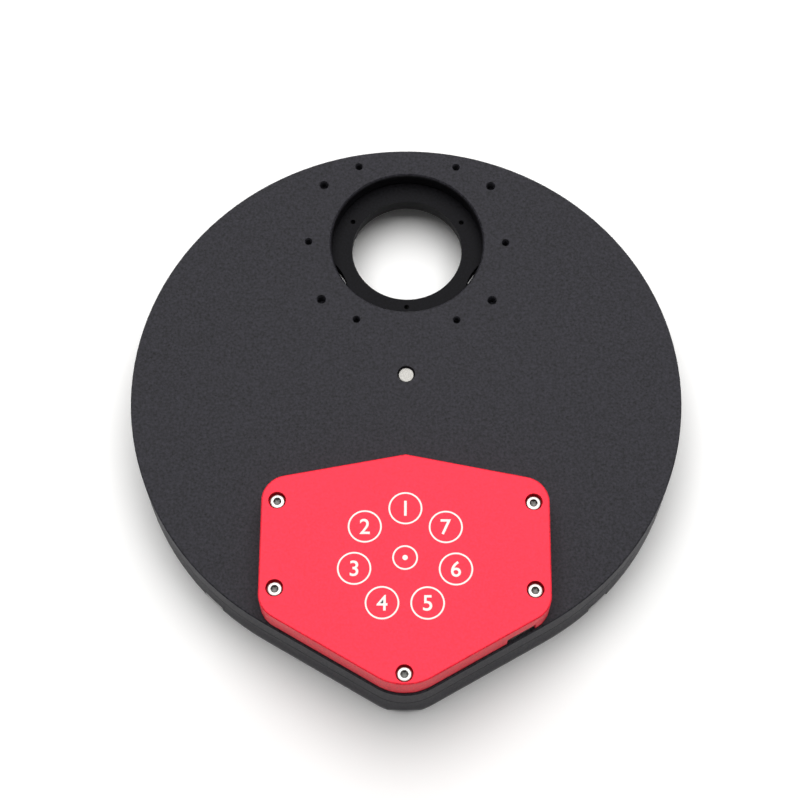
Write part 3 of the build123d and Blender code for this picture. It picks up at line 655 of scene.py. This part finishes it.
def islands(node):
    """Separate solids of a CAD node, as boxes (low corner, high corner)."""
    bm = bmesh.new()
    bm.from_mesh(frame["nodes"][node].data)
    bmesh.ops.remove_doubles(bm, verts=bm.verts, dist=NODE_WELD)
    left, boxes = set(bm.verts), []
    while left:
        todo, found = [left.pop()], []
        while todo:
            vert = todo.pop()
            found.append(vert.co.copy())
            for edge in vert.link_edges:
                other = edge.other_vert(vert)
                if other in left:
                    left.remove(other)
                    todo.append(other)
        boxes.append((Vector([min(co[i] for co in found) for i in range(3)]),
                      Vector([max(co[i] for co in found) for i in range(3)])))
    bm.free()
    return sorted(boxes, key=lambda pair: (round(pair[0].y, 4), round(pair[0].x, 4)))


def screw_rings(screws, length, head_height, ridges):
    """Rings of one screw, tip at -length, underside of the head at 0."""
    shank, pitch = screws.shank / 2, screws.pitch
    root = shank - THREAD_HEIGHT * pitch
    rings = [(root * TIP, -length), (root, -length + pitch / 2)]
    for step in range(int((length - pitch) / pitch)):
        z = -length + pitch * (step + FIRST_CREST)
        rings += [(shank, z), (root, z + pitch / 2)]
    head = screws.head / 2
    rim = knurled(head, KNURL_DEPTH * head, ridges) if ridges else head
    foot = HEAD_FOOT * head_height
    bevel = HEAD_BEVEL * screws.head_height
    inset, drop = BEVEL_BREAK
    rings += [(root, -NECK), (root, 0.0), (head - foot, 0.0), (rim, foot),
              (rim, head_height - bevel), (head - bevel * inset, head_height - bevel * drop),
              (head - bevel, head_height)]
    half_width = screws.key / 2
    mouth = half_width * SOCKET_MOUTH
    socket = hexagon(screws.key)
    bottom = head_height - SOCKET_DEPTH * head_height
    rings += [(mouth, head_height), (mouth * MOUTH_LIP, head_height),
              (socket, head_height - MOUTH_DROP), (socket, bottom)]
    rings += [(half_width * share, bottom - fall) for share, fall in SOCKET_FLOOR]
    return rings


def add_screw(bm, screws, spot, under_head, tip, head_height, ridges):
    """One screw in a bmesh; its head is above its tip, or below it when tip is higher."""
    up = 1.0 if tip < under_head else -1.0
    single = bmesh.new()
    stack_rings(single, screw_rings(screws, abs(under_head - tip), head_height, ridges))
    for face in single.faces:
        # Faces inside the hex socket take the second material: darker steel, painted shade of the socket.
        middle = face.calc_center_median()
        inside = middle.xy.length < screws.key * SOCKET_REACH
        if inside and 0 < middle.z < head_height - SOCKET_SKIN:
            face.material_index = 1
    bmesh.ops.scale(single, vec=(1, up, up), verts=single.verts)
    bmesh.ops.translate(single, vec=(spot[0], spot[1], under_head), verts=single.verts)
    absorb(bm, single)


def dress_screws(node, low_head, heads_down, body="housing"):
    """Detailed screws in the places of a CAD node's plain ones."""
    screws = bpy.context.scene.wheel_screws
    height = screws.low_head_height if low_head else screws.head_height
    ridges = 0 if low_head else screws.knurls
    bm = bmesh.new()
    for low, high in islands(node):
        spot = (low + high) / 2
        if heads_down:
            add_screw(bm, screws, spot, low.z + height, high.z, height, ridges)
        else:
            add_screw(bm, screws, spot, high.z - height, low.z, height, ridges)
    return add_piece(bm, node.rstrip("s") + "_detail", ("stainless", "socket_painted_shade"),
                     body, replaced=(node,))


def thread_liner(bm, centre, radius, low, high, depth, pitch, steps=FINE_ROUND):
    """Thread crests that stand inwards from a hole's wall."""
    wall = radius - LINER_GAP
    count = int((high - low) / pitch)
    start = (high - low - count * pitch) / 2 + low
    profile = [(wall, start)]
    for turn_number in range(count):
        z = start + pitch * turn_number
        profile += [(wall - depth, z + pitch * share) for share in CREST]
        profile.append((wall - depth * VALLEY, z + pitch))
    outer = wall + LINER_GAP
    profile += [(outer, start + count * pitch), (outer, start)]
    turn(bm, profile, centre, steps, closed=True)


def smooth_node(node):
    """Welds a CAD node's loose triangles for the render and smooths its round faces."""
    obj = frame["nodes"][node]
    for polygon in obj.data.polygons:
        polygon.use_smooth = True
    weld = obj.modifiers.new("Weld", "WELD")
    weld.merge_threshold = NODE_WELD
    split = obj.modifiers.new("Sharp edges", "EDGE_SPLIT")
    split.split_angle = NODE_SHARP


# ------------------------------------------------------------------ operators
class WHEEL_OT_finishes(bpy.types.Operator):
    """Give every CAD piece the finish of its slot, except those in OWN_FINISH, which get darker copies that are
    painted shade
    """

    bl_idname = "wheel.finishes"
    bl_label = "Finish the metal and plastic pieces"

    def execute(self, context):
        build_finishes(context.scene.wheel_finish)
        for part in frame["record"]["subparts"]:
            node = frame["nodes"][part["node"]]
            finish = OWN_FINISH.get(part["node"], part["material_slot"])
            node.data.materials.clear()
            node.data.materials.append(FINISHES[finish])
            smooth_node(part["node"])
        return {"FINISHED"}


class WHEEL_OT_screws(bpy.types.Operator):
    """Replace the plain screws by knurled, threaded ones with hex sockets"""

    bl_idname = "wheel.screws"
    bl_label = "Screws"

    def execute(self, context):
        dress_screws("cover_screws", low_head=False, heads_down=False)
        dress_screws("housing_screws", low_head=False, heads_down=True)
        dress_screws("axle_screw", low_head=True, heads_down=True)
        dress_screws("hub_screws", low_head=True, heads_down=True, body="carousel")
        dress_screws("board_screws", low_head=True, heads_down=False)
        dress_screws("motor_screws", low_head=True, heads_down=False)
        return {"FINISHED"}


class WHEEL_OT_threads(bpy.types.Operator):
    """Cut the threads of the telescope port and of the tapped holes"""

    bl_idname = "wheel.threads"
    bl_label = "Threads"

    def execute(self, context):
        threads = context.scene.wheel_threads
        port = MOUNTS["telescope_port"]["dims"]
        bm = bmesh.new()
        length = port["length_mm"] * MM
        thread_liner(bm, (0, 0), port["r_mm"] * MM, PORT_LEAD, length - PORT_LEAD,
                     threads.port_depth, threads.port_pitch, steps=4 * FINE_ROUND)
        add_piece(bm, "telescope_port_thread", ("black_anodised",),
                  "housing")

        bm = bmesh.new()
        for centre, reach, z_low, z_high in self.holes():
            thread_liner(bm, centre, reach, z_low, z_high, threads.small_depth,
                         context.scene.wheel_screws.pitch)
        add_piece(bm, "tapped_hole_threads", ("black_anodised",),
                  "housing")
        return {"FINISHED"}

    @staticmethod
    def holes():
        """Centre, radius, low end and high end of the thread in each tapped hole."""
        camera_span = (CAMERA_FACE - CAMERA_THREAD, CAMERA_FACE - HOLE_LEAD)
        telescope_span = (HOLE_LEAD, TELESCOPE_THREAD)
        found = []
        for name, span in (("camera_ring_holes", camera_span),
                           ("telescope_ring_holes", telescope_span)):
            dims = MOUNTS[name]["dims"]
            reach = dims["pcd_mm"] / 2 * MM
            for step in range(dims["count"]):
                angle = math.tau * step / dims["count"]
                spot = (reach * math.cos(angle), reach * math.sin(angle))
                found.append((spot, dims["hole_r_mm"] * MM, *span))
        dims = MOUNTS["camera_plate_holes"]["dims"]
        for side_x in (-1, 1):
            for side_y in (-1, 1):
                spot = (side_x * dims["spacing_x_mm"] / 2 * MM,
                        side_y * dims["spacing_y_mm"] / 2 * MM)
                found.append((spot, dims["hole_r_mm"] * MM, *camera_span))
        return found


class WHEEL_OT_contacts(bpy.types.Operator):
    """Lay the gold contacts on both sides of the USB socket's tongue"""

    bl_idname = "wheel.contacts"
    bl_label = "USB contacts"

    def execute(self, context):
        port = MOUNTS["usb_port"]
        out = Vector(port["axis"]).normalized()
        low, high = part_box("usb_tongue")
        middle = (low + high) / 2
        tip = max((vert.co for vert in frame["nodes"]["usb_tongue"].data.vertices),
                  key=lambda co: co.dot(out)).dot(out)
        along = Matrix.Rotation(math.atan2(out.y, out.x), 4, "Z")
        reach = tip - CONTACT_SETBACK - CONTACT_LENGTH / 2
        thick = CONTACT_THICKNESS
        bm = bmesh.new()
        for level in (low.z - thick / 2, high.z + thick / 2):
            for count in range(CONTACTS):
                across = (count - (CONTACTS - 1) / 2) * CONTACT_STEP
                spot = along @ Vector((reach, across, 0)) + (middle - out * middle.dot(out))
                contact = bmesh.new()
                bmesh.ops.create_cube(contact, size=1.0)
                bmesh.ops.scale(contact, vec=(CONTACT_LENGTH, CONTACT_WIDTH, thick),
                                verts=contact.verts)
                upright = [edge for edge in contact.edges
                           if abs(edge.verts[0].co.z - edge.verts[1].co.z) > thick / 2]
                bmesh.ops.bevel(contact, geom=upright, offset=CONTACT_WIDTH * CONTACT_ROUNDING,
                                segments=2, profile=0.5, affect="EDGES", material=-1)
                bmesh.ops.transform(contact, matrix=along, verts=contact.verts)
                bmesh.ops.translate(contact, vec=(spot.x, spot.y, level),
                                    verts=contact.verts)
                absorb(bm, contact)
        add_piece(bm, "usb_contacts", ("gold_plate",), "housing")
        return {"FINISHED"}


class WHEEL_OT_dial(bpy.types.Operator):
    """Print a numbered slot dial on the motor cover"""

    bl_idname = "wheel.dial"
    bl_label = "Printed dial"

    def execute(self, context):
        dial = context.scene.wheel_dial
        centre = (AXLE.x, AXLE.y - dial.drop)
        bm = bmesh.new()
        for step in range(SLOTS):
            angle = math.radians(90 + 360 * step / SLOTS)
            spot = (centre[0] + dial.ring * math.cos(angle),
                    centre[1] + dial.ring * math.sin(angle))
            self.ring(bm, dial, spot, dial.slot)
            self.numeral(bm, dial, spot, str(step + 1))
        self.ring(bm, dial, centre, dial.slot * MIDDLE_RING)
        dot, top = dial.line * MIDDLE_DOT, COVER_TOP + dial.ink
        turn(bm, [(0, COVER_TOP), (dot, COVER_TOP), (dot, top), (0, top)], centre, FINE_ROUND)
        add_piece(bm, "printed_dial", ("printed_ink",), "housing")
        return {"FINISHED"}

    @staticmethod
    def ring(bm, dial, centre, outside):
        """Printed ring of one line's width."""
        low, high = COVER_TOP, COVER_TOP + dial.ink
        inside = outside - dial.line
        turn(bm, [(inside, low), (outside, low), (outside, high), (inside, high)],
             centre, ROUND, closed=True)

    @staticmethod
    def numeral(bm, dial, centre, text):
        """Printed number, centred on its own outline."""
        curve = bpy.data.curves.new("numeral", "FONT")
        curve.body = text
        curve.align_x, curve.align_y = "CENTER", "CENTER"
        curve.size = dial.numeral * FONT_SIZE
        curve.offset = dial.line * INK_SPREAD
        curve.extrude = dial.ink / 2
        curve.resolution_u = 6
        obj = bpy.data.objects.new("numeral", curve)
        bpy.context.scene.collection.objects.link(obj)
        graph = bpy.context.evaluated_depsgraph_get()
        mesh = bpy.data.meshes.new_from_object(obj.evaluated_get(graph))
        xs = [vert.co.x for vert in mesh.vertices]
        ys = [vert.co.y for vert in mesh.vertices]
        mesh.transform(Matrix.Translation(
            (centre[0] - (min(xs) + max(xs)) / 2, centre[1] - (min(ys) + max(ys)) / 2,
             COVER_TOP + dial.ink / 2)))
        bm.from_mesh(mesh)
        bpy.data.objects.remove(obj)
        bpy.data.curves.remove(curve)
        bpy.data.meshes.remove(mesh)


class WHEEL_OT_stage(bpy.types.Operator):
    """Set up floor, sky, lamp and camera"""

    bl_idname = "wheel.stage"
    bl_label = "Studio"

    def execute(self, context):
        stage = context.scene.wheel_stage
        self.floor(stage)
        self.sky(context, stage)
        centre = Vector((AXLE.x, AXLE.y, 0))
        lean = Vector((stage.key_side, math.cos(stage.key_tilt), math.sin(stage.key_tilt)))
        self.lamp(centre + lean * stage.key_distance, centre, stage)
        self.camera(context, stage)
        return {"FINISHED"}

    @staticmethod
    def floor(stage):
        """Paper floor, which keeps the wheel's shadow and fades to white far from it."""
        bm = bmesh.new()
        bmesh.ops.create_grid(bm, x_segments=1, y_segments=1, size=stage.floor / 2)
        mesh = bpy.data.meshes.new("floor")
        bm.to_mesh(mesh)
        bm.free()
        mesh.materials.append(WHEEL_OT_stage.floor_material(stage))
        floor = bpy.data.objects.new("floor", mesh)
        floor.location.z = -stage.floor_drop
        bpy.context.scene.collection.objects.link(floor)

    @staticmethod
    def floor_material(stage):
        """Paper from above; clear from below and to the short rays that leave the underside."""
        material, tree, shader = new_material(
            "studio_floor", Roughness=0.9, Specular_IOR_Level=0.0)
        link = tree.links.new
        seen = WHEEL_OT_stage.seen_directly(tree)
        paper = add_node(tree, "ShaderNodeMix", data_type="RGBA")
        paper.inputs["A"].default_value = FLOOR_GREY
        paper.inputs["B"].default_value = rgba(tint * stage.paper for tint in PAPER_TINT)
        link(seen, paper.inputs["Factor"])
        link(paper.outputs["Result"], shader.inputs["Base Color"])

        # Far from the wheel the paper turns plain white, where it is seen directly.
        place = add_node(tree, "ShaderNodeTexCoord")
        reach = add_node(tree, "ShaderNodeVectorMath", operation="LENGTH")
        far = add_node(tree, "ShaderNodeMapRange",
                       {"From Min": PAPER_FADE[0], "From Max": PAPER_FADE[1]},
                       interpolation_type="SMOOTHSTEP")
        fade = add_node(tree, "ShaderNodeMath", operation="MULTIPLY")
        white = add_node(tree, "ShaderNodeEmission", {"Color": (1, 1, 1, 1), "Strength": 1.0})
        ground = add_node(tree, "ShaderNodeMixShader")
        link(place.outputs["Object"], reach.inputs[0])
        link(reach.outputs["Value"], far.inputs["Value"])
        link(far.outputs["Result"], fade.inputs[0])
        link(seen, fade.inputs[1])
        link(fade.outputs[0], ground.inputs["Fac"])
        link(shader.outputs["BSDF"], ground.inputs[1])
        link(white.outputs[0], ground.inputs[2])

        # The underside stands just above the floor. Views from below pass through the floor,
        # and so do rays from the underside, which meet it within the reach and go on to the
        # light under the horizon.
        side = add_node(tree, "ShaderNodeNewGeometry")
        path = add_node(tree, "ShaderNodeLightPath")
        close = add_node(tree, "ShaderNodeMath", {1: stage.underside_reach}, operation="LESS_THAN")
        open_to = add_node(tree, "ShaderNodeMath", operation="MAXIMUM")
        clear = add_node(tree, "ShaderNodeBsdfTransparent")
        sheet = add_node(tree, "ShaderNodeMixShader")
        link(path.outputs["Ray Length"], close.inputs[0])
        link(close.outputs[0], open_to.inputs[0])
        link(side.outputs["Backfacing"], open_to.inputs[1])
        link(open_to.outputs[0], sheet.inputs["Fac"])
        link(ground.outputs[0], sheet.inputs[1])
        link(clear.outputs[0], sheet.inputs[2])
        link(sheet.outputs[0], tree.nodes["Material Output"].inputs["Surface"])
        return material

    @staticmethod
    def seen_directly(tree):
        """1 for the camera and for mirrored or clear views, 0 for the light on the wheel."""
        path = add_node(tree, "ShaderNodeLightPath")
        mirrored = add_node(tree, "ShaderNodeMath", operation="MAXIMUM")
        either = add_node(tree, "ShaderNodeMath", operation="MAXIMUM")
        link = tree.links.new
        link(path.outputs["Is Glossy Ray"], mirrored.inputs[0])
        link(path.outputs["Is Transmission Ray"], mirrored.inputs[1])
        link(path.outputs["Is Camera Ray"], either.inputs[0])
        link(mirrored.outputs[0], either.inputs[1])
        return either.outputs[0]

    @staticmethod
    def sky(context, stage):
        """Even light, at full strength from under the horizon; the camera sees plain white."""
        world = bpy.data.worlds.new("studio")
        world.use_nodes = True
        context.scene.world = world
        tree = world.node_tree
        link = tree.links.new
        even = tree.nodes["Background"]
        even.inputs["Color"].default_value = (1, 1, 1, 1)
        place = add_node(tree, "ShaderNodeTexCoord")
        heading = add_node(tree, "ShaderNodeSeparateXYZ")
        level = add_node(tree, "ShaderNodeMapRange", {
            "From Min": UNDER_HORIZON, "From Max": 0.0, "To Min": 1.0, "To Max": stage.sky})
        link(place.outputs["Generated"], heading.inputs[0])
        link(heading.outputs["Z"], level.inputs["Value"])
        link(level.outputs["Result"], even.inputs["Strength"])

        mirrored = add_node(tree, "ShaderNodeBackground",
                            {"Color": (1, 1, 1, 1), "Strength": stage.mirror_sky})
        white = add_node(tree, "ShaderNodeBackground", {"Color": (1, 1, 1, 1), "Strength": 1.0})
        path = add_node(tree, "ShaderNodeLightPath")
        nearer = add_node(tree, "ShaderNodeMixShader")
        whole = add_node(tree, "ShaderNodeMixShader")
        link(path.outputs["Is Glossy Ray"], nearer.inputs["Fac"])
        link(even.outputs[0], nearer.inputs[1])
        link(mirrored.outputs[0], nearer.inputs[2])
        link(path.outputs["Is Camera Ray"], whole.inputs["Fac"])
        link(nearer.outputs[0], whole.inputs[1])
        link(white.outputs[0], whole.inputs[2])
        link(whole.outputs[0], tree.nodes["World Output"].inputs["Surface"])

    @staticmethod
    def lamp(place, target, stage):
        """Large soft lamp that faces the wheel."""
        light = bpy.data.lights.new("key_lamp", "AREA")
        light.shape = "RECTANGLE"
        light.size, light.size_y = stage.key_width, stage.key_depth
        light.energy = stage.key_power
        lamp = bpy.data.objects.new("key_lamp", light)
        bpy.context.scene.collection.objects.link(lamp)
        lamp.location = place
        lamp.rotation_mode = "QUATERNION"
        lamp.rotation_quaternion = (target - place).to_track_quat("-Z", "Y")

    @staticmethod
    def camera(context, stage):
        """Camera at its place round the aim point, and the view transform."""
        data = bpy.data.cameras.new("camera")
        data.lens = stage.lens
        data.sensor_width = SENSOR_WIDTH
        camera = bpy.data.objects.new("camera", data)
        context.scene.collection.objects.link(camera)
        back = Vector((math.sin(stage.azimuth) * math.cos(stage.elevation),
                       -math.cos(stage.azimuth) * math.cos(stage.elevation),
                       math.sin(stage.elevation)))
        camera.location = Vector(stage.aim) + back * stage.distance
        camera.rotation_mode = "QUATERNION"
        look = (-back).to_track_quat("-Z", "Y")
        camera.rotation_quaternion = look @ Matrix.Rotation(stage.roll, 3, "Z").to_quaternion()
        data.clip_start = 0.01
        context.scene.camera = camera
        context.scene.view_settings.view_transform = "Standard"


OPERATORS = (
    WHEEL_OT_finishes,
    WHEEL_OT_screws,
    WHEEL_OT_threads,
    WHEEL_OT_contacts,
    WHEEL_OT_dial,
    WHEEL_OT_stage,
)


class WHEEL_PT_panel(bpy.types.Panel):
    """Sidebar panel with every step of the dressing"""

    bl_idname = "WHEEL_PT_panel"
    bl_label = "Filter wheel"
    bl_space_type = "VIEW_3D"
    bl_region_type = "UI"
    bl_category = "Filter wheel"

    def draw(self, context):
        for operator in OPERATORS:
            self.layout.operator(operator.bl_idname)
        for name, group in SETTINGS.items():
            box = self.layout.box()
            for label in group.__annotations__:
                box.prop(getattr(context.scene, name), label)


def register():
    """Register the settings, the operators and the panel."""
    for group in SETTINGS.values():
        bpy.utils.register_class(group)
    for name, group in SETTINGS.items():
        setattr(bpy.types.Scene, name, PointerProperty(type=group))
    for operator in OPERATORS:
        bpy.utils.register_class(operator)
    bpy.utils.register_class(WHEEL_PT_panel)


def unregister():
    """Take away everything that register added, in reverse."""
    bpy.utils.unregister_class(WHEEL_PT_panel)
    for operator in reversed(OPERATORS):
        bpy.utils.unregister_class(operator)
    for name in SETTINGS:
        delattr(bpy.types.Scene, name)
    for group in reversed(SETTINGS.values()):
        bpy.utils.unregister_class(group)


def main():
    """Dress the wheel step by step."""
    register()
    for operator in OPERATORS:
        area, action = operator.bl_idname.split(".")
        getattr(getattr(bpy.ops, area), action)()


if __name__ == "__main__":
    main()
